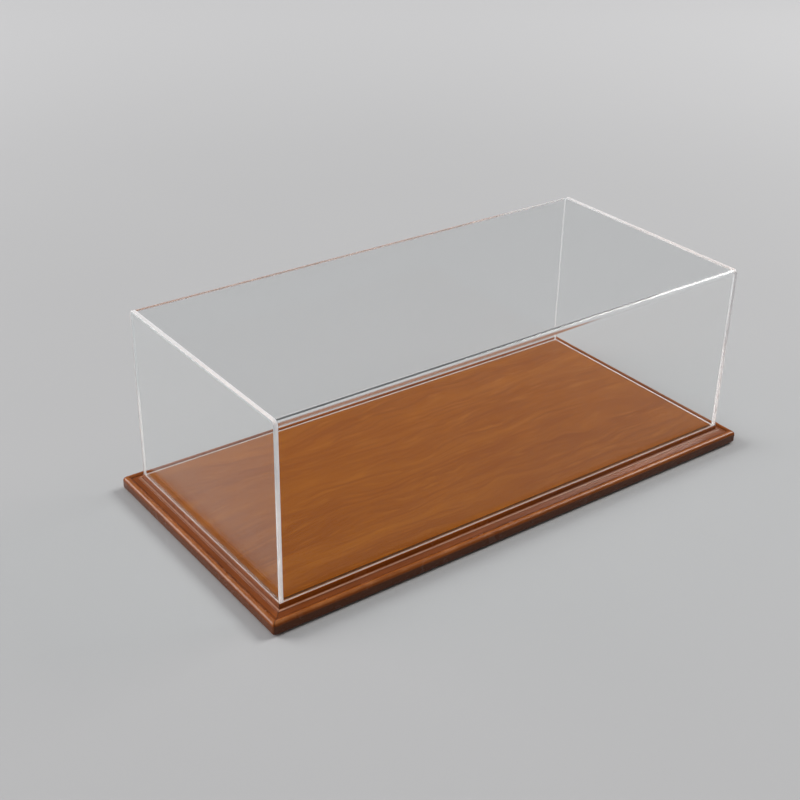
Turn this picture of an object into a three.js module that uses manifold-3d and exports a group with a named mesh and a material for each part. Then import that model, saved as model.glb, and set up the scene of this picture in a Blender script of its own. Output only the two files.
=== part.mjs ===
// Display case for a large scale model: a clear acrylic cover, folded from one sheet and
// closed by two bonded end panels, that stands on a mitred mahogany base.
//
// Millimetres. +X runs along the case, -Y is its front, +Z is up. The origin is on the
// surface that the case stands on, under the middle of the base.

import * as THREE from 'three';
import { mergeVertices } from 'three/addons/utils/BufferGeometryUtils.js';
import Module from 'manifold-3d';

// ---------------------------------------------------------------- driving dimensions

// Cover, outside sizes
const COVER_L = 420;
const COVER_W = 197;
const COVER_H = 138.6;
const SHEET = 3; // acrylic thickness
const BEND_OUT = 4; // outside radius of the two folded edges
const BEND_IN = 1.2; // inside radius of the folds
const BOND = 0.05; // cement line between a sheet's edge and an end panel

// Levels above the surface the case stands on
const FOOT_H = 1.5;
const LEDGE_Z = 15; // ledge of the moulding that carries the cover
const DECK_Z = 16.2; // top of the deck, which stands proud inside the cover

// Deck: a veneered board
const DECK_CLEAR = 1; // play between the cover's inside faces and the deck's edge
const VENEER = 0.6;
const CORE = 4.9;
const GLUE = 0.05; // thickness of a glue line

// Moulding, measured outward from the cover's outside face
const RAIL_IN = -12; // inner face, under the deck
const RAIL_OUT = 12.4; // outer face
const STEP_D = 0.65; // step below the ledge
const FILLET_Z = 11.7;
const FILLET_D = 3;
const GROOVE_D = 7.05; // foot of the shallow cove, where it meets the bead
const GROOVE_Z = 9.88;
const BEAD_D = 9.4; // crown of the outer bead
const BEAD_Z = 11;
const BEAD_R = 3;
const FOOT_EASE = 1.2; // eased bottom edge
const MITRE_GAP = 0.1;

// V-nails across the mitres, driven from below
const NAIL_LEG = 6;
const NAIL_T = 0.6;
const NAIL_LOW = 1.8;
const NAIL_HIGH = 8.8;
const NAIL_ROOM = 0.3;
const NAIL_D = [-7, 1]; // where the two nails of a mitre sit

// Corner blocks under the deck
const BLOCK_LEG = 22;
const BLOCK_LOW = 3;
const BLOCK_GAP = 0.1;

// Feet
const FOOT_R = 6.35;
const FOOT_X = 186;
const FOOT_D = -1;

const HX = COVER_L / 2;
const HY = COVER_W / 2;
const DECK_HX = HX - SHEET - DECK_CLEAR;
const DECK_HY = HY - SHEET - DECK_CLEAR;
const DECK_LOW = DECK_Z - 2 * VENEER - CORE - 2 * GLUE;
const REBATE_Z = DECK_LOW - 0.1; // shelf of the moulding under the deck
const REBATE_D = -(SHEET + DECK_CLEAR) + 0.05;

// ---------------------------------------------------------------- solids

const wasm = await Module();
wasm.setup();

// The same surface with shared corners, and with its faces pointing out.
function closed(geometry) {
  const g = geometry.clone();
  for (const name of Object.keys(g.attributes)) if (name !== 'position') g.deleteAttribute(name);
  const m = mergeVertices(g, 1e-4);
  const p = m.attributes.position;
  const i = m.index.array;
  const a = new THREE.Vector3(), b = new THREE.Vector3(), c = new THREE.Vector3();
  let volume = 0;
  for (let t = 0; t < i.length; t += 3) {
    a.fromBufferAttribute(p, i[t]);
    b.fromBufferAttribute(p, i[t + 1]);
    c.fromBufferAttribute(p, i[t + 2]);
    volume += a.dot(b.cross(c));
  }
  if (volume < 0) for (let t = 0; t < i.length; t += 3) [i[t + 1], i[t + 2]] = [i[t + 2], i[t + 1]];
  return m;
}

function toSolid(geometry) {
  const g = closed(geometry);
  return new wasm.Manifold(new wasm.Mesh({
    numProp: 3,
    vertProperties: new Float32Array(g.attributes.position.array),
    triVerts: new Uint32Array(g.index.array),
  }));
}

function toGeometry(solid) {
  const m = solid.getMesh();
  const points = new Float32Array(m.numVert * 3);
  for (let v = 0; v < m.numVert; v++)
    for (let k = 0; k < 3; k++) points[v * 3 + k] = m.vertProperties[v * m.numProp + k];
  const g = new THREE.BufferGeometry();
  g.setAttribute('position', new THREE.BufferAttribute(points, 3));
  g.setIndex(new THREE.BufferAttribute(new Uint32Array(m.triVerts), 1));
  return g;
}

// A prism: the outline is in (u, v) and place(u, v, end) gives the point, with end -1 or 1.
function prism(outline, place) {
  const g = new THREE.ExtrudeGeometry(new THREE.Shape(outline), { depth: 1, bevelEnabled: false, steps: 1 });
  const p = g.attributes.position;
  for (let v = 0; v < p.count; v++) {
    const [x, y, z] = place(p.getX(v), p.getY(v), p.getZ(v) < 0.5 ? -1 : 1);
    p.setXYZ(v, x, y, z);
  }
  return closed(g);
}

const P = (x, y) => new THREE.Vector2(x, y);

// Points of an arc of an ellipse, angles in degrees
function arc(cx, cy, rx, ry, from, to, n) {
  const out = [];
  for (let k = 0; k <= n; k++) {
    const t = THREE.MathUtils.degToRad(from + ((to - from) * k) / n);
    out.push(P(cx + rx * Math.cos(t), cy + ry * Math.sin(t)));
  }
  return out;
}

function slab(x0, x1, y0, y1, z0, z1) {
  const g = new THREE.BoxGeometry(x1 - x0, y1 - y0, z1 - z0);
  g.translate((x0 + x1) / 2, (y0 + y1) / 2, (z0 + z1) / 2);
  return closed(g);
}

// ---------------------------------------------------------------- moulding

// Section of the moulding: u outward from the cover's outside face, v the height.
const section = [
  P(RAIL_IN, FOOT_H),
  P(RAIL_OUT - FOOT_EASE, FOOT_H),
  ...arc(RAIL_OUT - FOOT_EASE, FOOT_H + FOOT_EASE, FOOT_EASE, FOOT_EASE, -90, 0, 5).slice(1),
  // outer bead, from the outer face over its crown into the groove
  ...arc(BEAD_D, BEAD_Z - BEAD_R, RAIL_OUT - BEAD_D, BEAD_R, 0, 90, 9),
  P(8.6, 10.89), P(7.9, 10.6), P(7.35, 10.19), P(GROOVE_D, GROOVE_Z),
  // shallow cove
  P(6.3, 10.08), P(5.3, 10.37), P(4.3, 10.67), P(FILLET_D + 0.3, 11),
  // fillet and step
  P(FILLET_D + 0.05, 11.12), P(FILLET_D, 11.35), P(FILLET_D - 0.1, 11.6), P(FILLET_D - 0.35, FILLET_Z),
  P(STEP_D, FILLET_Z),
  ...arc(STEP_D - 0.4, LEDGE_Z - 0.4, 0.4, 0.4, 0, 90, 3),
  // ledge under the cover, then the rebate that holds the deck
  P(REBATE_D, LEDGE_Z),
  P(REBATE_D, REBATE_Z),
  P(RAIL_IN, REBATE_Z),
];

// Outline of a V-nail round its apex, with both legs along the rails of a corner
function nailOutline(room) {
  const h = NAIL_T / 2 + room;
  const e = NAIL_LEG + room;
  return [P(-h, -h), P(e, -h), P(e, h), P(h, h), P(h, e), P(-h, e)];
}

function nail(sx, sy, d, room) {
  const low = room ? FOOT_H - 1 : NAIL_LOW;
  const high = NAIL_HIGH + room;
  return prism(nailOutline(room), (u, v, end) => [
    sx * (HX + d) - sx * u,
    sy * (HY + d) - sy * v,
    end < 0 ? low : high,
  ]);
}

const CORNERS = [
  ['front_left', -1, -1],
  ['front_right', 1, -1],
  ['rear_left', -1, 1],
  ['rear_right', 1, 1],
];

// One rail along X (alongX) or along Y, on the side given by its sign
function rail(alongX, side) {
  const run = alongX ? HX : HY;
  const off = alongX ? HY : HX;
  const bare = prism(section, (u, v, end) => {
    const along = end * (run + u - MITRE_GAP / Math.SQRT2);
    const out = side * (off + u);
    return alongX ? [along, out, v] : [out, along, v];
  });
  let solid = toSolid(bare);
  for (const [, sx, sy] of CORNERS) {
    if ((alongX ? sy : sx) !== side) continue;
    for (const d of NAIL_D) solid = solid.subtract(toSolid(nail(sx, sy, d, NAIL_ROOM)));
  }
  return toGeometry(solid);
}

// ---------------------------------------------------------------- cover

// Section of the folded sheet, in (y, z), open at the bottom
function wrapSection() {
  const top = LEDGE_Z + COVER_H;
  const yi = HY - SHEET;
  const zi = top - SHEET;
  return [
    P(-HY, LEDGE_Z),
    P(-yi, LEDGE_Z),
    ...arc(-yi + BEND_IN, zi - BEND_IN, BEND_IN, BEND_IN, 180, 90, 6),
    ...arc(yi - BEND_IN, zi - BEND_IN, BEND_IN, BEND_IN, 90, 0, 6),
    P(yi, LEDGE_Z),
    P(HY, LEDGE_Z),
    ...arc(HY - BEND_OUT, top - BEND_OUT, BEND_OUT, BEND_OUT, 0, 90, 10),
    ...arc(-HY + BEND_OUT, top - BEND_OUT, BEND_OUT, BEND_OUT, 90, 180, 10),
  ];
}

function endOutline() {
  const top = LEDGE_Z + COVER_H;
  return [
    P(-HY, LEDGE_Z),
    P(HY, LEDGE_Z),
    ...arc(HY - BEND_OUT, top - BEND_OUT, BEND_OUT, BEND_OUT, 0, 90, 10),
    ...arc(-HY + BEND_OUT, top - BEND_OUT, BEND_OUT, BEND_OUT, 90, 180, 10),
  ];
}

function endPanel(side) {
  const inner = HX - SHEET;
  return prism(endOutline(), (u, v, end) => [side * (end < 0 ? inner : HX), u, v]);
}

// ---------------------------------------------------------------- foot

function foot(x, y) {
  const h = FOOT_H - GLUE;
  const profile = [P(0, 0), P(FOOT_R - 0.45, 0), P(FOOT_R - 0.15, 0.15), P(FOOT_R, 0.5), P(FOOT_R, h), P(0, h)];
  const g = new THREE.LatheGeometry(profile, 32);
  g.rotateX(Math.PI / 2);
  g.translate(x, y, 0);
  return closed(g);
}

// ---------------------------------------------------------------- materials

const paint = (color, roughness, metalness = 0, extra = {}) =>
  new THREE.MeshStandardMaterial({ color, roughness, metalness, ...extra });

const MOULDING = () => paint(0x86461f, 0.28);
const VENEERED = () => paint(0x9c5a2a, 0.35);
const BACKING = () => paint(0x8f6a45, 0.7);
const BOARD = () => paint(0x9a7148, 0.9);
const PINE = () => paint(0xc9a06a, 0.8);
const STEEL = () => paint(0xa9adb3, 0.35, 1);
const RUBBER = () => paint(0x1b1b1c, 0.85);
const ACRYLIC = () => paint(0xe9eef2, 0.05, 0, { transparent: true, opacity: 0.22 });

// ---------------------------------------------------------------- assembly

const group = new THREE.Group();
const base = new THREE.Group();
const cover = new THREE.Group();
group.add(base, cover);

function add(parent, name, geometry, material) {
  const g = geometry.clone();
  g.computeVertexNormals();
  const mesh = new THREE.Mesh(g, material);
  mesh.name = name;
  parent.add(mesh);
  return mesh;
}

add(base, 'front_moulding', rail(true, -1), MOULDING());
add(base, 'rear_moulding', rail(true, 1), MOULDING());
add(base, 'left_moulding', rail(false, -1), MOULDING());
add(base, 'right_moulding', rail(false, 1), MOULDING());

const coreLow = DECK_LOW + VENEER + GLUE;
add(base, 'backing_veneer', slab(-DECK_HX, DECK_HX, -DECK_HY, DECK_HY, DECK_LOW, DECK_LOW + VENEER), BACKING());
add(base, 'deck_board', slab(-DECK_HX, DECK_HX, -DECK_HY, DECK_HY, coreLow, coreLow + CORE), BOARD());
add(base, 'deck_veneer', slab(-DECK_HX, DECK_HX, -DECK_HY, DECK_HY, DECK_Z - VENEER, DECK_Z), VENEERED());

for (const [corner, sx, sy] of CORNERS) {
  // corner block: a triangle in the angle between two rails, glued up under the deck
  const cx = HX + RAIL_IN - BLOCK_GAP;
  const cy = HY + RAIL_IN - BLOCK_GAP;
  const block = prism([P(0, 0), P(BLOCK_LEG, 0), P(BLOCK_LEG, 1.5), P(1.5, BLOCK_LEG), P(0, BLOCK_LEG)], (u, v, end) => [
    sx * (cx - u), sy * (cy - v), end < 0 ? BLOCK_LOW : DECK_LOW - BLOCK_GAP,
  ]);
  add(base, `corner_block_${corner}`, block, PINE());
  NAIL_D.forEach((d, k) => {
    add(base, `v_nail_${corner}_${k ? 'outer' : 'inner'}`, nail(sx, sy, d, 0), STEEL());
  });
  add(base, `foot_${corner}`, foot(sx * FOOT_X, sy * (HY + FOOT_D)), RUBBER());
}

const half = HX - SHEET - BOND;
add(cover, 'cover_wrap', prism(wrapSection(), (u, v, end) => [end * half, u, v]), ACRYLIC());
add(cover, 'cover_left_end', endPanel(-1), ACRYLIC());
add(cover, 'cover_right_end', endPanel(1), ACRYLIC());

export default group;
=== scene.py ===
import math

import bmesh
import bpy
from mathutils import Matrix, Vector


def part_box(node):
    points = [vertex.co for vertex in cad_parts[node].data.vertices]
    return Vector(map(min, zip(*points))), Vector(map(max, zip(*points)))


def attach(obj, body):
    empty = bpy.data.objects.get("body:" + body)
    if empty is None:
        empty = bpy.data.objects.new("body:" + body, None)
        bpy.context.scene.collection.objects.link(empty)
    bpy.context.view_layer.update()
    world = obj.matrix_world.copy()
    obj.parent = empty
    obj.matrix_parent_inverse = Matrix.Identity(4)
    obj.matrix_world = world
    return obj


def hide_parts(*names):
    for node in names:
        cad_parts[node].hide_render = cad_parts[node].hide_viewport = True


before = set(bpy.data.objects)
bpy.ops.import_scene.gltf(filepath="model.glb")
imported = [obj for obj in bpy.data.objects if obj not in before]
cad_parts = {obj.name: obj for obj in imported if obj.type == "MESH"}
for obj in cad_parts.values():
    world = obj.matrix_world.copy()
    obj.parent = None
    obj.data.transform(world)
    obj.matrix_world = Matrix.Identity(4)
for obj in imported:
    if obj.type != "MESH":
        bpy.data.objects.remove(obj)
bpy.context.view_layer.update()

scene = bpy.context.scene
MM = 0.001

# ---------------------------------------------------------------- sizes, from the frame (mm)

wrap_lo, wrap_hi = (v * 1000 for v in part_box("cover_wrap"))
left_lo, left_hi = (v * 1000 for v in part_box("cover_left_end"))
right_lo, right_hi = (v * 1000 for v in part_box("cover_right_end"))
rail_lo, rail_hi = (v * 1000 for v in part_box("front_moulding"))
deck_lo, deck_hi = (v * 1000 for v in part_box("deck_veneer"))
core_lo, core_hi = (v * 1000 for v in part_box("deck_board"))
back_lo, back_hi = (v * 1000 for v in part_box("backing_veneer"))

HX = right_hi.x                    # half the cover's length
HY = wrap_hi.y                     # half its width
LEDGE = wrap_lo.z                  # the cover stands here
TOP = wrap_hi.z
SHEET = left_hi.x - left_lo.x
END_X = wrap_hi.x                  # where the folded sheet stops, short of the end panel
BEND = 4.0
BEND_IN = 1.2
OUT_D = -HY - rail_lo.y            # outer face of the moulding, out from the cover
IN_D = -HY - rail_hi.y             # its inner face
FOOT_Z = rail_lo.z
SEAM = 0.1 / math.sqrt(2)

# ---------------------------------------------------------------- camera

cam_data = bpy.data.cameras.new("camera")
cam = bpy.data.objects.new("camera", cam_data)
scene.collection.objects.link(cam)
right, up, ahead = (
    Vector((0.80744, -0.58970, 0.01714)),
    Vector((0.27228, 0.39828, 0.87592)),
    Vector((0.52335, 0.70259, -0.48215)),
)
cam.matrix_world = Matrix.Translation((-0.5780, -0.7221, 0.5667)) @ Matrix(
    [[right[i], up[i], -ahead[i]] for i in range(3)]
).to_4x4()
cam_data.sensor_fit = "HORIZONTAL"
cam_data.sensor_width = 36
cam_data.lens = 60.99
cam_data.shift_x, cam_data.shift_y = -0.000625, 0.000625
cam_data.clip_start, cam_data.clip_end = 0.02, 60
cam_data.dof.use_dof = False
scene.camera = cam

# ---------------------------------------------------------------- node helpers


class Mat:
    """A node material with a Principled shader and short ways to wire patterns into it."""

    def __init__(self, name, **plain):
        self.m = bpy.data.materials.new(name)
        self.m.use_nodes = True
        self.nt = self.m.node_tree
        self.nt.nodes.clear()
        self.out = self.add("ShaderNodeOutputMaterial")
        self.bsdf = self.add("ShaderNodeBsdfPrincipled")
        self.join(self.bsdf.outputs[0], self.out.inputs["Surface"])
        for k, v in plain.items():
            self.bsdf.inputs[k.replace("_", " ")].default_value = v
        coords = self.add("ShaderNodeTexCoord").outputs["Object"]
        self.mm = self.vec("SCALE", coords, scale=1000.0)
        parts = self.add("ShaderNodeSeparateXYZ")
        self.join(self.mm, parts.inputs[0])
        self.x, self.y, self.z = parts.outputs

    def add(self, kind):
        return self.nt.nodes.new(kind)

    def join(self, a, b):
        self.nt.links.new(a, b)

    def put(self, value, socket):
        if isinstance(value, bpy.types.NodeSocket):
            self.join(value, socket)
        elif isinstance(value, (tuple, list)) and len(value) == 3 and socket.type == "RGBA":
            socket.default_value = (*value, 1)
        else:
            socket.default_value = value

    def vec(self, op, a, b=None, scale=None):
        n = self.add("ShaderNodeVectorMath")
        n.operation = op
        self.put(a, n.inputs[0])
        if b is not None:
            self.put(b, n.inputs[1])
        if scale is not None:
            self.put(scale, n.inputs["Scale"])
        return n.outputs[0]

    def xyz(self, x, y, z):
        n = self.add("ShaderNodeCombineXYZ")
        for v, s in zip((x, y, z), n.inputs):
            self.put(v, s)
        return n.outputs[0]

    def math(self, op, a, b=None, c=None, clamp=False):
        n = self.add("ShaderNodeMath")
        n.operation = op
        n.use_clamp = clamp
        for v, s in zip((a, b, c), n.inputs):
            if v is not None:
                self.put(v, s)
        return n.outputs[0]

    def noise(self, vector, detail=2.0, rough=0.5, scale=1.0, distortion=0.0):
        n = self.add("ShaderNodeTexNoise")
        n.noise_dimensions = "3D"
        self.put(vector, n.inputs["Vector"])
        n.inputs["Scale"].default_value = scale
        n.inputs["Detail"].default_value = detail
        n.inputs["Roughness"].default_value = rough
        n.inputs["Distortion"].default_value = distortion
        return n.outputs["Fac"]

    def cells(self, vector, scale=1.0, feature="F1", out="Distance"):
        n = self.add("ShaderNodeTexVoronoi")
        n.feature = feature
        self.put(vector, n.inputs["Vector"])
        n.inputs["Scale"].default_value = scale
        return n.outputs[out]

    def span(self, value, low, high, to_low=0.0, to_high=1.0, smooth=True):
        n = self.add("ShaderNodeMapRange")
        n.interpolation_type = "SMOOTHSTEP" if smooth else "LINEAR"
        n.clamp = True
        for v, k in ((value, "Value"), (low, "From Min"), (high, "From Max"), (to_low, "To Min"), (to_high, "To Max")):
            self.put(v, n.inputs[k])
        return n.outputs["Result"]

    def mix(self, factor, a, b, blend="MIX"):
        n = self.add("ShaderNodeMix")
        n.data_type = "RGBA"
        n.blend_type = blend
        n.clamp_factor = True
        self.put(factor, n.inputs[0])
        self.put(a, n.inputs[6])
        self.put(b, n.inputs[7])
        return n.outputs[2]

    def ramp(self, value, stops):
        n = self.add("ShaderNodeValToRGB")
        r = n.color_ramp
        r.interpolation = "EASE"
        while len(r.elements) < len(stops):
            r.elements.new(0.5)
        for e, (at, colour) in zip(r.elements, stops):
            e.position = at
            e.color = (*colour, 1)
        self.put(value, n.inputs[0])
        return n.outputs[0]

    def bump(self, height, strength, distance_mm):
        n = self.add("ShaderNodeBump")
        n.inputs["Strength"].default_value = strength
        n.inputs["Distance"].default_value = distance_mm * MM
        self.put(height, n.inputs["Height"])
        self.join(n.outputs[0], self.bsdf.inputs["Normal"])

    def set(self, name, value):
        self.put(value, self.bsdf.inputs[name])


# ---------------------------------------------------------------- woods


def moulding_wood(name, along_x, seed, face_shade):
    """Stained mahogany under gloss lacquer, its grain along the rail."""
    g = Mat(name, IOR=1.5, Specular_IOR_Level=0.18, Coat_Weight=0.12, Coat_Roughness=0.11, Coat_IOR=1.5)
    along, across = (g.x, g.y) if along_x else (g.y, g.x)
    off = HY if along_x else HX
    d = g.math("SUBTRACT", g.math("ABSOLUTE", across), off)  # out from the cover's face
    drift = g.noise(g.xyz(g.math("MULTIPLY", along, 1 / 130), g.math("MULTIPLY", d, 1 / 30), seed), 1.0)
    wander = g.math("MULTIPLY", g.math("SUBTRACT", drift, 0.5), 9.0)
    u = g.math("ADD", d, wander)
    w = g.math("ADD", g.z, g.math("MULTIPLY", wander, 0.6))

    def grain(la, lu, lw, detail, rough, shift):
        return g.noise(
            g.xyz(
                g.math("MULTIPLY_ADD", along, 1 / la, seed + shift),
                g.math("MULTIPLY_ADD", u, 1 / lu, shift * 1.7),
                g.math("MULTIPLY_ADD", w, 1 / lw, seed * 2.3),
            ),
            detail,
            rough,
        )

    ribbon = grain(150, 4.2, 4.2, 3, 0.55, 0.0)
    fibre = grain(26, 0.55, 0.55, 3, 0.6, 11.0)
    pores = g.span(grain(4.5, 0.21, 0.21, 1, 0.5, 23.0), 0.62, 0.72)
    clouds = grain(60, 22, 22, 2, 0.5, 37.0)
    colour = g.ramp(
        ribbon,
        [(0.28, (0.155, 0.034, 0.0040)), (0.48, (0.240, 0.055, 0.0055)), (0.62, (0.300, 0.074, 0.0075)), (0.78, (0.375, 0.102, 0.0130))],
    )
    colour = g.mix(g.span(clouds, 0.35, 0.68, 0.0, 0.40), colour, (0.360, 0.082, 0.0060))
    colour = g.mix(g.span(fibre, 0.30, 0.72, 0.30, 0.0), colour, (0.130, 0.030, 0.0065))
    colour = g.mix(g.math("MULTIPLY", pores, 0.55), colour, (0.075, 0.024, 0.008))
    # painted shade: darker colour in the groove behind the bead and at the foot of the step, where shade falls
    groove_shade = g.math("MULTIPLY", g.span(d, 6.2, 6.9, 0, 1), g.span(d, 7.1, 7.7, 1, 0))
    foot = g.math("MULTIPLY", g.span(d, 0.85, 1.25, 1, 0), g.span(g.z, 11.9, 12.6, 1, 0))
    painted_shade = g.math("ADD", g.math("MULTIPLY", groove_shade, 0.55), g.math("MULTIPLY", foot, 0.45), clamp=True)
    colour = g.mix(painted_shade, colour, (0.085, 0.022, 0.004))
    # painted highlight: the bead crown and the fillet top are paler in a noisy patchwork, standing in for lamp
    # reflections
    highlight_noise = g.noise(g.xyz(g.math("MULTIPLY", along, 1 / 14), seed * 3.1, g.math("MULTIPLY", g.z, 0.2)), 3, 0.6)
    bead = g.math("MULTIPLY", g.span(d, 8.8, 9.6, 0, 1), g.span(g.z, 9.4, 10.4, 0, 1))
    lip_in, lip_out = ((1.4, 2.3), (3.0, 3.1)) if along_x else ((0.9, 1.2), (2.1, 2.6))
    lip = g.math("MULTIPLY", g.span(d, *lip_in, 0, 1), g.span(g.z, 11.1, 11.4, 0, 1))
    lip = g.math("MULTIPLY", lip, g.span(d, *lip_out, 1, 0))
    bead_lip_highlight = g.math("MULTIPLY", g.math("MAXIMUM", bead, lip), g.span(highlight_noise, 0.35, 0.70, 0.16, 0.50))
    colour = g.mix(bead_lip_highlight, colour, (0.520, 0.200, 0.062))
    # a paler fillet: it stands in for a lamp's reflection, and lies further in on the end rails
    colour = g.mix(g.math("MULTIPLY", lip, g.span(highlight_noise, 0.25, 0.75, 0.52, 0.80)), colour, (0.620, 0.370, 0.270))
    # a darker outer face, by a set amount per rail: it stands in for dark surroundings that the pale floor replaces
    face = g.math("MULTIPLY", g.span(d, 11.6, 12.3, 0, 1), g.span(g.z, 9.6, 7.6, 0, 1))
    colour = g.mix(g.math("MULTIPLY", face, face_shade), colour, (0.085, 0.022, 0.004))
    # the mitre: a hair of dark glue either side of the joint
    run = HX if along_x else HY
    joint = g.math(
        "ABSOLUTE", g.math("SUBTRACT", g.math("SUBTRACT", g.math("ABSOLUTE", along), run), d)
    )
    seam = g.span(joint, 0.10, 0.55, 0.75, 0.0)
    colour = g.mix(seam, colour, (0.060, 0.019, 0.007))
    # raw wood shows below, where lacquer isn't carried round
    under = g.span(g.z, FOOT_Z + 0.05, FOOT_Z + 0.45, 1, 0)
    raw = g.mix(g.span(fibre, 0.3, 0.7), (0.30, 0.135, 0.058), (0.40, 0.195, 0.090))
    colour = g.mix(g.math("MULTIPLY", under, 0.75), colour, raw)
    g.set("Base Color", colour)
    smudge = g.noise(g.vec("SCALE", g.mm, scale=1 / 17), 3, 0.6)
    rough = g.math("ADD", g.span(smudge, 0.3, 0.72, 0.20, 0.29), g.math("MULTIPLY", pores, 0.10))
    hollow = g.math("MULTIPLY", g.span(d, 3.0, 3.3, 0, 1), g.span(d, 6.6, 7.2, 1, 0))
    rough = g.math("ADD", rough, g.math("MULTIPLY", hollow, 0.08 if along_x else 0.16))
    g.set("Coat Weight", g.span(hollow, 0, 1, 0.12, 0.14 if along_x else 0.02))
    rough = g.math("ADD", rough, g.math("MULTIPLY", under, 0.35), clamp=True)
    g.set("Roughness", rough)
    relief = g.math("SUBTRACT", g.math("MULTIPLY", fibre, 0.35), pores)
    g.bump(relief, 0.16, 0.06)
    return g.m


def deck_wood(name):
    """Flat-cut mahogany veneer under satin lacquer, its figure along the deck."""
    g = Mat(name, IOR=1.5, Specular_IOR_Level=0.12, Coat_Weight=0.04, Coat_Roughness=0.22, Coat_IOR=1.5)
    # the sheet's fibres wander a little, so the figure does too
    lazy = g.noise(g.xyz(g.math("MULTIPLY", g.x, 1 / 170), g.math("MULTIPLY", g.y, 1 / 70), 4.0), 2, 0.5)
    ripple = g.noise(g.xyz(g.math("MULTIPLY", g.x, 1 / 34), g.math("MULTIPLY", g.y, 1 / 26), 9.0), 2, 0.5)
    v = g.math("ADD", g.y, g.math("MULTIPLY", g.math("SUBTRACT", lazy, 0.5), 56.0))
    v = g.math("ADD", v, g.math("MULTIPLY", g.math("SUBTRACT", ripple, 0.5), 7.0))

    def grain(lx, lv, detail, rough, shift, vv=None):
        return g.noise(
            g.xyz(g.math("MULTIPLY_ADD", g.x, 1 / lx, shift), g.math("MULTIPLY_ADD", vv or v, 1 / lv, shift * 1.3), shift * 0.7),
            detail,
            rough,
        )

    bands = grain(420, 17, 2, 0.5, 2.0)
    lines = grain(150, 2.6, 3, 0.6, 7.0)
    fleck = grain(30, 4.2, 2, 0.55, 13.0)
    silk = grain(44, 11, 2, 0.5, 19.0)
    fibre = grain(13, 0.42, 2, 0.6, 29.0)
    pores = g.span(grain(3.6, 0.20, 1, 0.5, 41.0), 0.63, 0.73)
    dashes = g.span(grain(11, 0.65, 1, 0.5, 53.0), 0.70, 0.79)
    colour = g.ramp(
        bands,
        [(0.30, (0.276, 0.074, 0.0036)), (0.50, (0.314, 0.089, 0.0048)), (0.70, (0.358, 0.108, 0.0065))],
    )
    colour = g.mix(g.span(lines, 0.34, 0.60, 0.42, 0.0), colour, (0.215, 0.050, 0.0036))
    colour = g.mix(g.span(fleck, 0.53, 0.73, 0.0, 0.50), colour, (0.420, 0.135, 0.0100))
    colour = g.mix(g.span(silk, 0.52, 0.74, 0.0, 0.34), colour, (0.400, 0.120, 0.0085))
    colour = g.mix(g.span(silk, 0.26, 0.44, 0.30, 0.0), colour, (0.250, 0.060, 0.0038))
    colour = g.mix(g.span(fibre, 0.28, 0.70, 0.17, 0.0), colour, (0.165, 0.038, 0.0035))
    colour = g.mix(g.math("MULTIPLY", pores, 0.26), colour, (0.140, 0.040, 0.0110))
    colour = g.mix(g.math("MULTIPLY", dashes, 0.24), colour, (0.190, 0.052, 0.0120))
    # the deck's side face, below its top arris and seen in the gap between deck and cover, is coloured darker
    edge = g.span(g.z, deck_hi.z - 0.16, deck_hi.z - 0.06, 1, 0)
    colour = g.mix(g.math("MULTIPLY", edge, 0.75), colour, (0.120, 0.040, 0.012))
    g.set("Base Color", colour)
    haze = g.noise(g.vec("SCALE", g.mm, scale=1 / 38), 4, 0.6)
    rough = g.math("ADD", g.span(haze, 0.30, 0.72, 0.36, 0.45), g.math("MULTIPLY", pores, 0.08))
    rough = g.math("SUBTRACT", rough, g.span(fleck, 0.53, 0.73, 0.0, 0.05))
    g.set("Roughness", rough)
    g.bump(g.math("SUBTRACT", g.math("MULTIPLY", fibre, 0.3), pores), 0.05, 0.05)
    return g.m


def backing_wood(name):
    """Plain balancing veneer, sanded and left bare."""
    g = Mat(name, IOR=1.5)
    v = g.math(
        "MULTIPLY_ADD", g.math("SUBTRACT", g.noise(g.xyz(g.math("MULTIPLY", g.x, 1 / 140), g.math("MULTIPLY", g.y, 1 / 60), 3.0), 2), 0.5), 30.0, g.y
    )
    lines = g.noise(g.xyz(g.math("MULTIPLY", g.x, 1 / 190), g.math("MULTIPLY", v, 1 / 2.4), 5.0), 3, 0.6)
    fibre = g.noise(g.xyz(g.math("MULTIPLY", g.x, 1 / 12), g.math("MULTIPLY", v, 1 / 0.45), 8.0), 2, 0.6)
    pores = g.span(g.noise(g.xyz(g.math("MULTIPLY", g.x, 1 / 4), g.math("MULTIPLY", v, 1 / 0.24), 15.0), 1), 0.63, 0.72)
    colour = g.ramp(lines, [(0.30, (0.335, 0.180, 0.088)), (0.52, (0.420, 0.240, 0.125)), (0.74, (0.490, 0.300, 0.165))])
    colour = g.mix(g.span(fibre, 0.3, 0.7, 0.25, 0), colour, (0.25, 0.125, 0.060))
    colour = g.mix(g.math("MULTIPLY", pores, 0.4), colour, (0.14, 0.070, 0.035))
    g.set("Base Color", colour)
    g.set("Roughness", g.span(fibre, 0.3, 0.7, 0.78, 0.66))
    g.bump(g.math("SUBTRACT", fibre, pores), 0.25, 0.06)
    return g.m


def board_core(name):
    """Fibreboard: fine mottled fibres."""
    g = Mat(name, IOR=1.5)
    fuzz = g.noise(g.vec("SCALE", g.mm, scale=1 / 0.35), 4, 0.7)
    hair = g.noise(g.vec("MULTIPLY", g.mm, (1 / 2.2, 1 / 2.2, 1 / 0.25)), 3, 0.6)
    colour = g.ramp(fuzz, [(0.30, (0.215, 0.120, 0.055)), (0.55, (0.300, 0.180, 0.090)), (0.75, (0.380, 0.245, 0.135))])
    colour = g.mix(g.span(hair, 0.55, 0.72, 0, 0.4), colour, (0.42, 0.29, 0.17))
    g.set("Base Color", colour)
    g.set("Roughness", g.span(fuzz, 0.3, 0.7, 0.92, 0.80))
    g.bump(fuzz, 0.3, 0.08)
    return g.m


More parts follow.
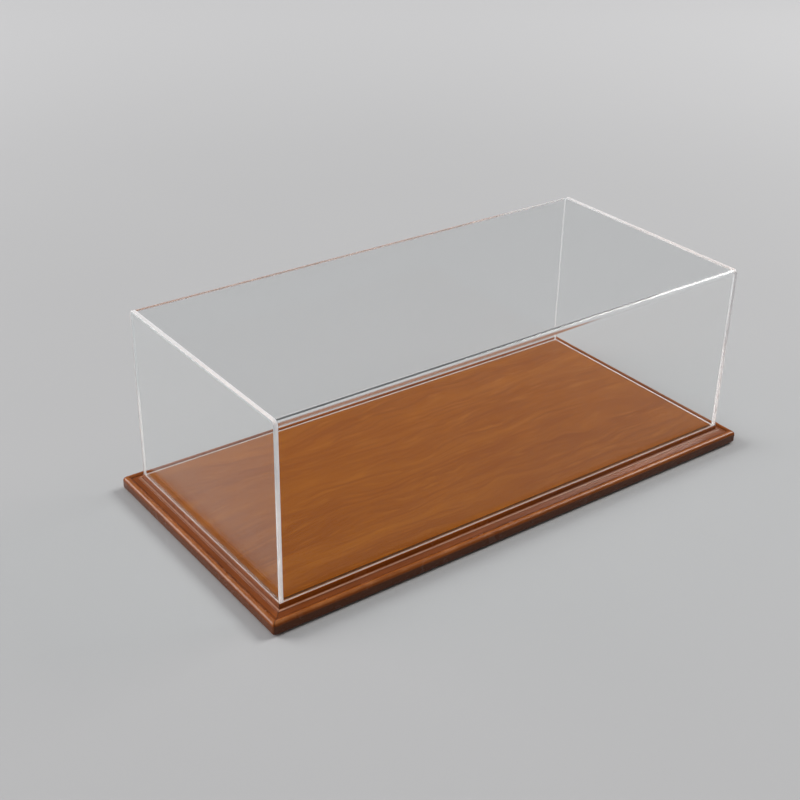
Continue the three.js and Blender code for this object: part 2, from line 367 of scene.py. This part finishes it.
def pine(name):
    """Sawn pine blocks: growth rings, saw marks, a smear of glue where they meet the rails."""
    g = Mat(name, IOR=1.45)
    ax, ay = g.math("ABSOLUTE", g.x), g.math("ABSOLUTE", g.y)
    warp = g.noise(g.vec("SCALE", g.mm, scale=1 / 18), 2)
    t = g.math("ADD", g.math("MULTIPLY", ax, 0.42), g.math("MULTIPLY", ay, 0.95))
    t = g.math("MULTIPLY_ADD", warp, 3.2, t)
    rings = g.math("FRACT", g.math("MULTIPLY", t, 1 / 2.3))
    late = g.math("MULTIPLY", g.span(rings, 0.45, 0.90), g.span(rings, 0.93, 0.99, 1, 0))
    saw = g.noise(g.xyz(g.math("MULTIPLY", ax, 1 / 0.6), g.math("MULTIPLY", ay, 1 / 26), g.math("MULTIPLY", g.z, 1 / 8)), 2)
    colour = g.mix(g.math("MULTIPLY", late, 0.75), (0.640, 0.430, 0.215), (0.420, 0.215, 0.078))
    colour = g.mix(g.span(saw, 0.35, 0.65, 0.0, 0.22), colour, (0.72, 0.53, 0.31))
    near = g.math("MAXIMUM", g.span(ax, HX + IN_D - 1.6, HX + IN_D - 0.4), g.span(ay, HY + IN_D - 1.6, HY + IN_D - 0.4))
    near = g.math("MULTIPLY", near, g.span(warp, 0.42, 0.60, 0.0, 0.6))
    colour = g.mix(near, colour, (0.62, 0.50, 0.30))
    g.set("Base Color", colour)
    g.set("Roughness", g.math("SUBTRACT", g.span(saw, 0.3, 0.7, 0.88, 0.72), g.math("MULTIPLY", near, 0.3)))
    g.bump(g.math("ADD", saw, g.math("MULTIPLY", late, 0.4)), 0.35, 0.10)
    return g.m


def zinc(name):
    """Zinc-plated spring steel with a brushed, spangled bloom."""
    g = Mat(name, Metallic=1.0)
    spangle = g.cells(g.vec("SCALE", g.mm, scale=1 / 1.3), out="Color")
    drawn = g.noise(g.vec("MULTIPLY", g.mm, (1 / 0.5, 1 / 0.5, 1 / 6.0)), 3, 0.6)
    bloom = g.noise(g.vec("SCALE", g.mm, scale=1 / 2.1), 4, 0.65)
    colour = g.mix(g.span(bloom, 0.35, 0.70), (0.44, 0.46, 0.49), (0.66, 0.67, 0.68))
    colour = g.mix(0.10, colour, spangle, "OVERLAY")
    g.set("Base Color", colour)
    g.set("Roughness", g.span(drawn, 0.3, 0.7, 0.28, 0.50))
    g.bump(drawn, 0.2, 0.03)
    return g.m


def rubber(name):
    """Moulded rubber, matt, with a dusty bloom and a fine spark texture."""
    g = Mat(name, IOR=1.5)
    spark = g.noise(g.vec("SCALE", g.mm, scale=1 / 0.28), 3, 0.6)
    dust = g.noise(g.vec("SCALE", g.mm, scale=1 / 2.6), 4, 0.6)
    colour = g.mix(g.span(dust, 0.45, 0.75, 0.0, 0.5), (0.017, 0.017, 0.018), (0.070, 0.068, 0.065))
    g.set("Base Color", colour)
    g.set("Roughness", g.span(spark, 0.3, 0.7, 0.95, 0.72))
    g.bump(spark, 0.4, 0.05)
    return g.m


# ---------------------------------------------------------------- acrylic


def let_lamps_through(g, tint):
    """Lamps, and light that has bounced off a dull surface, pass straight through the clear sheet."""
    path = g.add("ShaderNodeLightPath")
    clear = g.add("ShaderNodeBsdfTransparent")
    clear.inputs[0].default_value = (*tint, 1)
    inner, outer = g.add("ShaderNodeMixShader"), g.add("ShaderNodeMixShader")
    g.join(path.outputs["Is Diffuse Ray"], inner.inputs[0])
    g.join(g.bsdf.outputs[0], inner.inputs[1])
    g.join(clear.outputs[0], inner.inputs[2])
    g.join(path.outputs["Is Shadow Ray"], outer.inputs[0])
    g.join(inner.outputs[0], outer.inputs[1])
    g.join(clear.outputs[0], outer.inputs[2])
    g.join(outer.outputs[0], g.out.inputs["Surface"])


def clear_sheet(name):
    """Clear cast acrylic, with faint wipe marks in its polish."""
    g = Mat(name, IOR=1.43, Transmission_Weight=1.0, Specular_Tint=(0.06, 0.06, 0.06, 1.0))
    wipe = g.noise(g.vec("MULTIPLY", g.mm, (1 / 70, 1 / 60, 1 / 3.5)), 4, 0.7)
    dust = g.noise(g.vec("SCALE", g.mm, scale=1 / 45), 3, 0.6)
    marks = g.math("MULTIPLY", g.span(wipe, 0.55, 0.80), g.span(dust, 0.45, 0.70))
    g.set("Base Color", g.mix(g.math("MULTIPLY", marks, 0.5), (0.985, 0.992, 0.992), (0.955, 0.965, 0.970)))
    g.set("Roughness", g.math("MULTIPLY", marks, 0.022))
    let_lamps_through(g, (0.975, 0.985, 0.985))
    return g.m


def scraped_edge(name):
    """The sheet's sawn and scraped edge: frosted, so that it scatters light, with a faint emission that paints on a
    glow standing in for the light the sheet gathers.
    """
    g = Mat(name, IOR=1.49, Transmission_Weight=0.42, Emission_Color=(1.0, 0.97, 0.97, 1.0), Emission_Strength=0.06)
    scrape = g.noise(g.vec("MULTIPLY", g.mm, (1 / 0.35, 1 / 0.35, 1 / 0.35)), 3, 0.65)
    long = g.noise(g.vec("SCALE", g.mm, scale=1 / 9), 3, 0.6)
    g.set("Base Color", g.mix(g.span(long, 0.3, 0.7), (0.88, 0.86, 0.87), (0.96, 0.945, 0.945)))
    g.set("Roughness", g.span(scrape, 0.3, 0.7, 0.30, 0.52))
    g.bump(scrape, 0.15, 0.04)
    let_lamps_through(g, (0.88, 0.90, 0.91))
    return g.m


def folded_bend(name):
    """The two folds, where the heat of bending left the sheet a little cloudy, with a faint emission that paints a glow
    on them.
    """
    g = Mat(name, IOR=1.49, Transmission_Weight=0.86, Emission_Color=(0.97, 0.98, 1.0, 1.0), Emission_Strength=0.025)
    pull = g.noise(g.vec("MULTIPLY", g.mm, (1 / 26, 1 / 0.8, 1 / 0.8)), 3, 0.6)
    g.set("Base Color", g.mix(g.span(pull, 0.3, 0.7), (0.955, 0.965, 0.970), (0.985, 0.990, 0.990)))
    g.set("Roughness", g.span(pull, 0.3, 0.7, 0.09, 0.17))
    let_lamps_through(g, (0.93, 0.94, 0.95))
    return g.m


def sawn_foot(name):
    """The edge that the cover stands on: left off the saw; the wood's colour comes up through it, and its base colour
    is also tinted wood-pink as a painted reflection of the wood below.
    """
    g = Mat(name, IOR=1.49, Transmission_Weight=0.55)
    saw = g.noise(g.vec("MULTIPLY", g.mm, (1 / 0.45, 1 / 0.45, 1 / 0.45)), 3, 0.65)
    long = g.noise(g.vec("SCALE", g.mm, scale=1 / 12), 3, 0.6)
    g.set("Base Color", g.mix(g.span(long, 0.3, 0.7), (0.66, 0.42, 0.31), (0.79, 0.54, 0.43)))
    g.set("Roughness", g.span(saw, 0.3, 0.7, 0.35, 0.55))
    g.bump(saw, 0.15, 0.04)
    let_lamps_through(g, (0.90, 0.86, 0.84))
    return g.m


def cement(name):
    """A cemented joint: the two sheets are one there, but for a few trapped specks, with a faint emission that paints a
    glow on the joint.
    """
    g = Mat(name, IOR=1.49, Roughness=0.35, Emission_Color=(0.97, 0.98, 1.0, 1.0), Emission_Strength=0.10)
    specks = g.noise(g.vec("SCALE", g.mm, scale=1 / 0.9), 3, 0.6)
    g.set("Base Color", g.mix(g.span(specks, 0.4, 0.7), (0.86, 0.88, 0.89), (0.96, 0.97, 0.97)))
    clear = g.add("ShaderNodeBsdfTransparent")
    clear.inputs[0].default_value = (0.985, 0.99, 0.99, 1)
    blend = g.add("ShaderNodeMixShader")
    g.put(g.span(specks, 0.45, 0.78, 0.40, 0.52), blend.inputs[0])
    g.join(clear.outputs[0], blend.inputs[1])
    g.join(g.bsdf.outputs[0], blend.inputs[2])
    g.join(blend.outputs[0], g.out.inputs["Surface"])
    return g.m


# ---------------------------------------------------------------- mesh helpers


def new_piece(name, verts, faces, mats, slots=None, body="base", stands_for=(), sharp=32):
    me = bpy.data.meshes.new(name)
    me.from_pydata([tuple(c * MM for c in v) for v in verts], [], faces)
    return dress(name, me, mats, slots, body, stands_for, sharp)


def dress(name, me, mats, slots, body, stands_for, sharp):
    for m in mats:
        me.materials.append(m)
    if slots is not None:
        me.polygons.foreach_set("material_index", slots)
    b = bmesh.new()
    b.from_mesh(me)
    bmesh.ops.recalc_face_normals(b, faces=b.faces)
    b.to_mesh(me)
    b.free()
    me.polygons.foreach_set("use_smooth", [True] * len(me.polygons))
    me.set_sharp_from_angle(angle=math.radians(sharp))
    me.validate()
    me.update()
    ob = bpy.data.objects.new(name, me)
    scene.collection.objects.link(ob)
    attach(ob, body)
    if stands_for:
        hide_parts(*stands_for)
    return ob


def prism_mesh(name, outline, z0, z1, bevel=0.0, segments=2, only_top=False):
    """A closed prism over an outline, with its arrises eased."""
    b = bmesh.new()
    low = [b.verts.new((x * MM, y * MM, z0 * MM)) for x, y in outline]
    high = [b.verts.new((x * MM, y * MM, z1 * MM)) for x, y in outline]
    n = len(outline)
    b.faces.new(low[::-1])
    b.faces.new(high)
    for i in range(n):
        b.faces.new((low[i], low[(i + 1) % n], high[(i + 1) % n], high[i]))
    bmesh.ops.recalc_face_normals(b, faces=b.faces)
    if bevel:
        top = z1 * MM - 1e-7
        edges = [e for e in b.edges if not only_top or all(v.co.z > top for v in e.verts)]
        bmesh.ops.bevel(b, geom=edges, offset=bevel * MM, segments=segments, profile=0.5, affect="EDGES", clamp_overlap=True)
    me = bpy.data.meshes.new(name)
    b.to_mesh(me)
    b.free()
    return me


def arc(cx, cy, rx, ry, start, stop, n):
    return [
        (cx + rx * math.cos(math.radians(start + (stop - start) * k / n)), cy + ry * math.sin(math.radians(start + (stop - start) * k / n)))
        for k in range(n + 1)
    ]


# ---------------------------------------------------------------- mouldings


def section():
    """(out from the cover's face, height) of the moulding, mm, with fine curves."""
    ease = 1.2
    inner_shelf = back_lo.z - 0.1
    rebate = -(SHEET + (HX - SHEET - deck_hi.x)) + 0.05
    pts = [(IN_D, FOOT_Z), (OUT_D - ease, FOOT_Z)]
    pts += arc(OUT_D - ease, FOOT_Z + ease, ease, ease, -90, 0, 10)[1:]
    pts += arc(9.4, 8.0, OUT_D - 9.4, 3.0, 0, 90, 26)
    pts += [(9.02, 10.975), (8.65, 10.905), (8.3, 10.79), (7.97, 10.635), (7.68, 10.45), (7.42, 10.25), (7.22, 10.06), (7.08, 9.91), (7.0, 9.885)]
    pts += [(6.85, 9.92), (6.5, 10.02), (6.0, 10.16), (5.5, 10.305), (5.0, 10.45), (4.5, 10.605), (4.0, 10.765), (3.6, 10.895), (3.33, 10.985), (3.18, 11.045), (3.07, 11.12), (3.02, 11.22)]
    pts += arc(2.65, 11.35, 0.36, 0.35, 4, 90, 8)
    pts += [(0.95, 11.7), (0.74, 11.76), (0.65, 11.95)]
    pts += arc(0.25, 14.6, 0.4, 0.4, 0, 90, 6)
    pts += [(rebate, LEDGE), (rebate, inner_shelf), (IN_D, inner_shelf)]
    return pts


def plan_radius(d, z):
    """How far the corner of the finished frame is rounded in plan at a point of the section."""
    if d < 0.4:
        return 0.15
    if d < 3.1 and z > 11.0:
        return 0.45
    if d > 8.9:
        return 0.6 + 1.5 * min(1.0, (d - 8.9) / 1.6)
    return 0.2


def v_nail_outline(room):
    h, e = 0.3 + room, 6 + room
    return [(-h, -h), (e, -h), (e, h), (h, h), (h, e), (-h, e)]


NAIL_D = (-7.0, 1.0)
CORNERS = {"front_left": (-1, -1), "front_right": (1, -1), "rear_left": (-1, 1), "rear_right": (1, 1)}


def nail_place(sx, sy, d, room):
    return [(sx * (HX + d - u), sy * (HY + d - v)) for u, v in v_nail_outline(room)]


def rail(name, node, along_x, side, mat):
    run, off = (HX, HY) if along_x else (HY, HX)
    pts = section()
    turn, middle = 5, 28
    rows = []
    for d, z in pts:
        r = plan_radius(d, z)
        last = 45 - math.degrees(math.asin(SEAM / (r * math.sqrt(2))))
        bend = [
            (run + d - r + r * math.sin(math.radians(last * k / turn)), off + d - r + r * math.cos(math.radians(last * k / turn)))
            for k in range(turn + 1)
        ]
        line = [(-a, o) for a, o in bend[::-1]]
        a0, a1 = -bend[0][0], bend[0][0]
        line += [(a0 + (a1 - a0) * k / middle, off + d) for k in range(1, middle)]
        line += bend
        rows.append([(a, side * o, z) if along_x else (side * o, a, z) for a, o in line])
    n, m = len(rows), len(rows[0])
    verts = [rows[i][k] for k in range(m) for i in range(n)]
    faces = []
    for k in range(m - 1):
        for i in range(n):
            j = (i + 1) % n
            faces.append((k * n + i, k * n + j, (k + 1) * n + j, (k + 1) * n + i))
    faces.append(tuple(range(n))[::-1])
    faces.append(tuple((m - 1) * n + i for i in range(n)))
    me = bpy.data.meshes.new(name)
    me.from_pydata([tuple(c * MM for c in v) for v in verts], [], faces)
    b = bmesh.new()
    b.from_mesh(me)
    bmesh.ops.recalc_face_normals(b, faces=b.faces)
    b.to_mesh(me)
    b.free()
    blank = bpy.data.objects.new(name + "_blank", me)
    scene.collection.objects.link(blank)
    # pockets for the V-nails, open below
    b = bmesh.new()
    for sx, sy in CORNERS.values():
        if (sy if along_x else sx) != side:
            continue
        for d in NAIL_D:
            outline = nail_place(sx, sy, d, 0.3)
            low = [b.verts.new((x * MM, y * MM, (FOOT_Z - 1) * MM)) for x, y in outline]
            high = [b.verts.new((x * MM, y * MM, 9.1 * MM)) for x, y in outline]
            b.faces.new(low)
            b.faces.new(high)
            for i in range(6):
                b.faces.new((low[i], low[(i + 1) % 6], high[(i + 1) % 6], high[i]))
    bmesh.ops.recalc_face_normals(b, faces=b.faces)
    cut_me = bpy.data.meshes.new(name + "_cut")
    b.to_mesh(cut_me)
    b.free()
    cutter = bpy.data.objects.new(name + "_cut", cut_me)
    scene.collection.objects.link(cutter)
    mod = blank.modifiers.new("pockets", "BOOLEAN")
    mod.operation, mod.solver, mod.object = "DIFFERENCE", "EXACT", cutter
    bpy.context.view_layer.update()
    done = bpy.data.meshes.new_from_object(blank.evaluated_get(bpy.context.evaluated_depsgraph_get()))
    done.name = name
    bpy.data.objects.remove(blank)
    bpy.data.objects.remove(cutter)
    done.materials.clear()
    return dress(name, done, [mat], None, "base", (node,), 32)


rail("front_rail", "front_moulding", True, -1, moulding_wood("mahogany_front", True, 3.0, 0.95))
rail("rear_rail", "rear_moulding", True, 1, moulding_wood("mahogany_rear", True, 17.0, 0.55))
rail("left_rail", "left_moulding", False, -1, moulding_wood("mahogany_left", False, 41.0, 0.72))
rail("right_rail", "right_moulding", False, 1, moulding_wood("mahogany_right", False, 67.0, 0.62))

# ---------------------------------------------------------------- deck


def rectangle(lo, hi):
    return [(lo.x, lo.y), (hi.x, lo.y), (hi.x, hi.y), (lo.x, hi.y)]


dress("deck_face", prism_mesh("deck_face", rectangle(deck_lo, deck_hi), deck_lo.z, deck_hi.z, 0.22, 3, True),
      [deck_wood("mahogany_veneer")], None, "base", ("deck_veneer",), 32)
dress("deck_core", prism_mesh("deck_core", rectangle(core_lo, core_hi), core_lo.z, core_hi.z, 0.15, 2),
      [board_core("fibreboard")], None, "base", ("deck_board",), 32)
dress("deck_backing", prism_mesh("deck_backing", rectangle(back_lo, back_hi), back_lo.z, back_hi.z, 0.12, 2),
      [backing_wood("balancing_veneer")], None, "base", ("backing_veneer",), 32)

# ---------------------------------------------------------------- corner blocks, V-nails and feet

pine_mat, zinc_mat, rubber_mat = pine("sawn_pine"), zinc("zinc_steel"), rubber("foot_rubber")
for corner, (sx, sy) in CORNERS.items():
    lo, hi = (v * 1000 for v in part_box(f"corner_block_{corner}"))
    cx, cy = (hi.x if sx > 0 else lo.x), (hi.y if sy > 0 else lo.y)
    leg = hi.x - lo.x
    outline = [(cx - sx * u, cy - sy * v) for u, v in ((0, 0), (leg, 0), (leg, 1.5), (1.5, leg), (0, leg))]
    dress(f"glue_block_{corner}", prism_mesh(f"glue_block_{corner}", outline, lo.z, hi.z, 0.35, 2),
          [pine_mat], None, "base", (f"corner_block_{corner}",), 32)
    for k, d in enumerate(NAIL_D):
        node = f"v_nail_{corner}_{'outer' if k else 'inner'}"
        lo, hi = (v * 1000 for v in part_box(node))
        dress(f"nail_{corner}_{'outer' if k else 'inner'}",
              prism_mesh(node + "_look", nail_place(sx, sy, d, 0), lo.z, hi.z, 0.12, 2),
              [zinc_mat], None, "base", (node,), 32)
    lo, hi = (v * 1000 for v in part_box(f"foot_{corner}"))
    c, r, h = (lo + hi) / 2, (hi.x - lo.x) / 2, hi.z
    shape = [(0.0, 0.12), (1.4, 0.12), (1.7, 0.02), (2.2, 0.0), (r - 1.0, 0.0), (r - 0.62, 0.03), (r - 0.30, 0.14), (r - 0.09, 0.36), (r, 0.66), (r - 0.02, h - 0.18), (r - 0.16, h), (0.0, h)]
    around = 72
    verts, faces = [], []
    for x, z in shape[1:-1]:
        for k in range(around):
            t = 2 * math.pi * k / around
            verts.append((c.x + x * math.cos(t), c.y + x * math.sin(t), z))
    rings = len(shape) - 2
    for i in range(rings - 1):
        for k in range(around):
            j = (k + 1) % around
            faces.append((i * around + k, i * around + j, (i + 1) * around + j, (i + 1) * around + k))
    low_c, high_c = len(verts), len(verts) + 1
    verts += [(c.x, c.y, shape[0][1]), (c.x, c.y, h)]
    for k in range(around):
        j = (k + 1) % around
        faces.append((low_c, j, k))
        faces.append((high_c, (rings - 1) * around + k, (rings - 1) * around + j))
    new_piece(f"bumper_{corner}", verts, faces, [rubber_mat], None, "base", (f"foot_{corner}",), 38)

# ---------------------------------------------------------------- cover

sheet_mat, edge_mat = clear_sheet("acrylic_sheet"), scraped_edge("acrylic_edge")
foot_mat, bond_mat = sawn_foot("acrylic_foot"), cement("acrylic_cement")
fold_mat = folded_bend("acrylic_fold")
ACRYLIC = [sheet_mat, edge_mat, foot_mat, bond_mat, fold_mat]
SLOTS = {"sheet": 0, "edge": 1, "foot": 2, "bond": 3, "fold": 4}
REST = 0.02  # the sheet's lower edge, clear of the ledge by a hair
CUT = 0.22  # scraped chamfer on a sheet's cut edges


def wrap_section():
    top, yi, zi = TOP, HY - SHEET, TOP - SHEET
    foot = LEDGE + REST
    n = 20
    outer_r = arc(HY - BEND, top - BEND, BEND, BEND, 0, 90, n)
    outer_l = arc(-HY + BEND, top - BEND, BEND, BEND, 90, 180, n)
    inner_l = arc(-yi + BEND_IN, zi - BEND_IN, BEND_IN, BEND_IN, 180, 90, n)
    inner_r = arc(yi - BEND_IN, zi - BEND_IN, BEND_IN, BEND_IN, 90, 0, n)
    pts = [(-yi, foot), (-yi, zi - BEND_IN - 0.4)] + inner_l + [(-yi + BEND_IN + 0.4, zi), (yi - BEND_IN - 0.4, zi)] + inner_r
    pts += [(yi, zi - BEND_IN - 0.4), (yi, foot)]
    kinds = ["sheet"] * (len(pts) - 1) + ["foot"]
    more = [(HY - CUT * 0.5, foot), (HY, foot + CUT), (HY, top - BEND - 0.4)] + outer_r + [(HY - BEND - 0.4, top), (-HY + BEND + 0.4, top)] + outer_l
    more += [(-HY, top - BEND - 0.4), (-HY, foot + CUT), (-HY + CUT * 0.5, foot)]
    kinds += ["edge"] + ["sheet"] * (len(more) - 3) + ["edge", "foot"]
    pts += more
    for i, kind in enumerate(kinds):
        y, z = ((a + b) / 2 for a, b in zip(pts[i], pts[(i + 1) % len(pts)]))
        if kind == "sheet" and abs(y) > HY - BEND - 0.1 and z > top - BEND - 0.1:
            kinds[i] = "fold"
    return pts, kinds


def wrap_sheet():
    pts, kinds = wrap_section()
    n = len(pts)
    stations = [-END_X, -END_X + 6, 0.0, END_X - 6, END_X]
    verts = [(x, y, z) for x in stations for y, z in pts]
    faces, slots = [], []
    for k in range(len(stations) - 1):
        for i in range(n):
            j = (i + 1) % n
            faces.append((k * n + i, (k + 1) * n + i, (k + 1) * n + j, k * n + j))
            slots.append(SLOTS[kinds[i]])
    # the two ends, cemented to the end panels
    for base in (0, (len(stations) - 1) * n):
        faces.append(tuple(base + i for i in range(n)))
        slots.append(SLOTS["bond"])
    return new_piece("folded_sheet", verts, faces, ACRYLIC, slots, "cover", ("cover_wrap",), 12)


def end_sheet(name, node, side):
    foot, top, n = LEDGE + REST, TOP, 20

    def outline(inset):
        r = BEND - inset
        y = HY - inset
        pts = [(-y, foot + inset), (y, foot + inset)]
        pts += arc(HY - BEND, top - BEND, r, r, 0, 90, n)
        pts += arc(-HY + BEND, top - BEND, r, r, 90, 180, n)
        return pts

    def window():
        """The inside of the folded sheet, where the panel's inner face is free; the rest of it is cemented."""
        r, y, z = BEND_IN, HY - SHEET, TOP - SHEET
        pts = [(-y, foot), (y, foot)]
        pts += arc(y - r, z - r, r, r, 0, 90, n)
        pts += arc(-y + r, z - r, r, r, 90, 180, n)
        return pts

    x_in, x_out = side * (HX - SHEET), side * HX
    rings = [
        [(x_in, y, z) for y, z in outline(0.0)],
        [(x_out - side * CUT, y, z) for y, z in outline(0.0)],
        [(x_out, y, z) for y, z in outline(CUT)],
    ]
    m = len(rings[0])
    verts = [p for ring in rings for p in ring]
    base = len(verts)
    verts += [(x_in, y, z) for y, z in window()]
    # the lower edge, which the window's two lower corners share
    faces, slots = [(0, m, m + 1, 1, base + 1, base)], [SLOTS["foot"]]
    for k in range(2):
        for i in range(1 - k, m):
            j = (i + 1) % m
            faces.append((k * m + i, (k + 1) * m + i, (k + 1) * m + j, k * m + j))
            slots.append(SLOTS["edge"])
    faces.append(tuple(2 * m + i for i in range(m)))
    slots.append(SLOTS["sheet"])
    # inner face: a U-shaped cemented strip round the free window
    for i in range(1, m):
        j = (i + 1) % m
        faces.append((i, j, base + j, base + i))
        slots.append(SLOTS["bond"])
    faces.append(tuple(base + i for i in range(m)))
    slots.append(SLOTS["sheet"])
    return new_piece(name, verts, faces, ACRYLIC, slots, "cover", (node,), 12)


wrap_sheet()
end_sheet("left_end_sheet", "cover_left_end", -1)
end_sheet("right_end_sheet", "cover_right_end", 1)

# ---------------------------------------------------------------- floor and light

floor_me = bpy.data.meshes.new("floor")
R = 9.0
floor_me.from_pydata([(-R, -R, 0), (R, -R, 0), (R, R, 0), (-R, R, 0)], [], [(0, 1, 2, 3)])
floor = bpy.data.objects.new("floor", floor_me)
scene.collection.objects.link(floor)
g = Mat("floor_paper", Roughness=0.75)
mottle = g.noise(g.vec("SCALE", g.mm, scale=1 / 420), 2)
reach = g.math("SQRT", g.math("ADD", g.math("MULTIPLY", g.x, g.x), g.math("MULTIPLY", g.y, g.y)))
near = g.mix(mottle, (0.485, 0.487, 0.494), (0.510, 0.512, 0.519))
# painted light and shade: the paper is paler from 0.45 m to 1.7 m out and darker past 1.7 m, evening out how the lamps
# light it
paper_with_painted_light = g.mix(g.span(reach, 450, 1700), near, (0.600, 0.602, 0.611))
g.set("Base Color", g.mix(g.span(reach, 1700, 3200), paper_with_painted_light, (0.380, 0.381, 0.387)))
# painted light: past the lamps' reach the paper glows faintly by emission, standing in for the room's light
g.set("Emission Color", (0.95, 0.965, 1.0, 1.0))
g.set("Emission Strength", g.span(reach, 2200, 4800, 0.0, 0.22))
floor_me.materials.append(g.m)


def area(name, at, aim, width, height, power, colour=(1, 1, 1)):
    data = bpy.data.lights.new(name, "AREA")
    data.shape = "RECTANGLE"
    data.size, data.size_y = width, height
    data.energy = power
    data.color = colour
    lamp = bpy.data.objects.new(name, data)
    scene.collection.objects.link(lamp)
    lamp.location = at
    lamp.rotation_mode = "QUATERNION"
    lamp.rotation_quaternion = (Vector(aim) - Vector(at)).to_track_quat("-Z", "Y")
    lamp.visible_camera = False
    lamp.visible_transmission = False
    return lamp


area("soft_right", (3.22, -0.61, 2.92), (0, 0, 0.03), 1.83, 1.62, 115, (1.0, 0.985, 0.965))
area("soft_left", (-3.20, 3.38, 2.22), (-0.2, -0.05, 0.02), 3.30, 2.70, 212, (1.0, 0.99, 0.98))
area("soft_top", (0.0, 0.0, 3.4), (0, 0, 0), 2.6, 2.3, 10.5, (1.0, 0.995, 0.985))

world = bpy.data.worlds.new("studio")
scene.world = world
world.use_nodes = True
wn = world.node_tree
wn.nodes.clear()
w_out = wn.nodes.new("ShaderNodeOutputWorld")
w_bg = wn.nodes.new("ShaderNodeBackground")
w_bg.inputs[0].default_value = (0.95, 0.965, 1.0, 1)
# a pale room behind and beside the case, dimmer in front and overhead
w_dir = wn.nodes.new("ShaderNodeTexCoord")
w_xyz = wn.nodes.new("ShaderNodeSeparateXYZ")
wn.links.new(w_dir.outputs["Generated"], w_xyz.inputs[0])


def world_span(socket, low, high, to_low, to_high):
    n = wn.nodes.new("ShaderNodeMapRange")
    n.interpolation_type = "SMOOTHSTEP"
    wn.links.new(socket, n.inputs["Value"])
    for k, v in (("From Min", low), ("From Max", high), ("To Min", to_low), ("To Max", to_high)):
        n.inputs[k].default_value = v
    return n.outputs["Result"]


w_mul = wn.nodes.new("ShaderNodeMath")
w_mul.operation = "MULTIPLY"
wn.links.new(world_span(w_xyz.outputs[1], -0.55, 0.25, 0.16, 0.34), w_mul.inputs[0])
wn.links.new(world_span(w_xyz.outputs[2], 0.60, 0.92, 1.0, 0.7), w_mul.inputs[1])
wn.links.new(w_mul.outputs[0], w_bg.inputs[1])
wn.links.new(w_bg.outputs[0], w_out.inputs[0])

scene.view_settings.view_transform = "Standard"
scene.view_settings.look = "None"
scene.view_settings.exposure = 0.0
scene.view_settings.gamma = 1.0
scene.cycles.use_denoising = True
scene.cycles.max_bounces = 48
scene.cycles.diffuse_bounces = 4
scene.cycles.glossy_bounces = 40
scene.cycles.transmission_bounces = 24
scene.cycles.transparent_max_bounces = 24
scene.cycles.sample_clamp_indirect = 4.0
scene.cycles.blur_glossy = 0.3
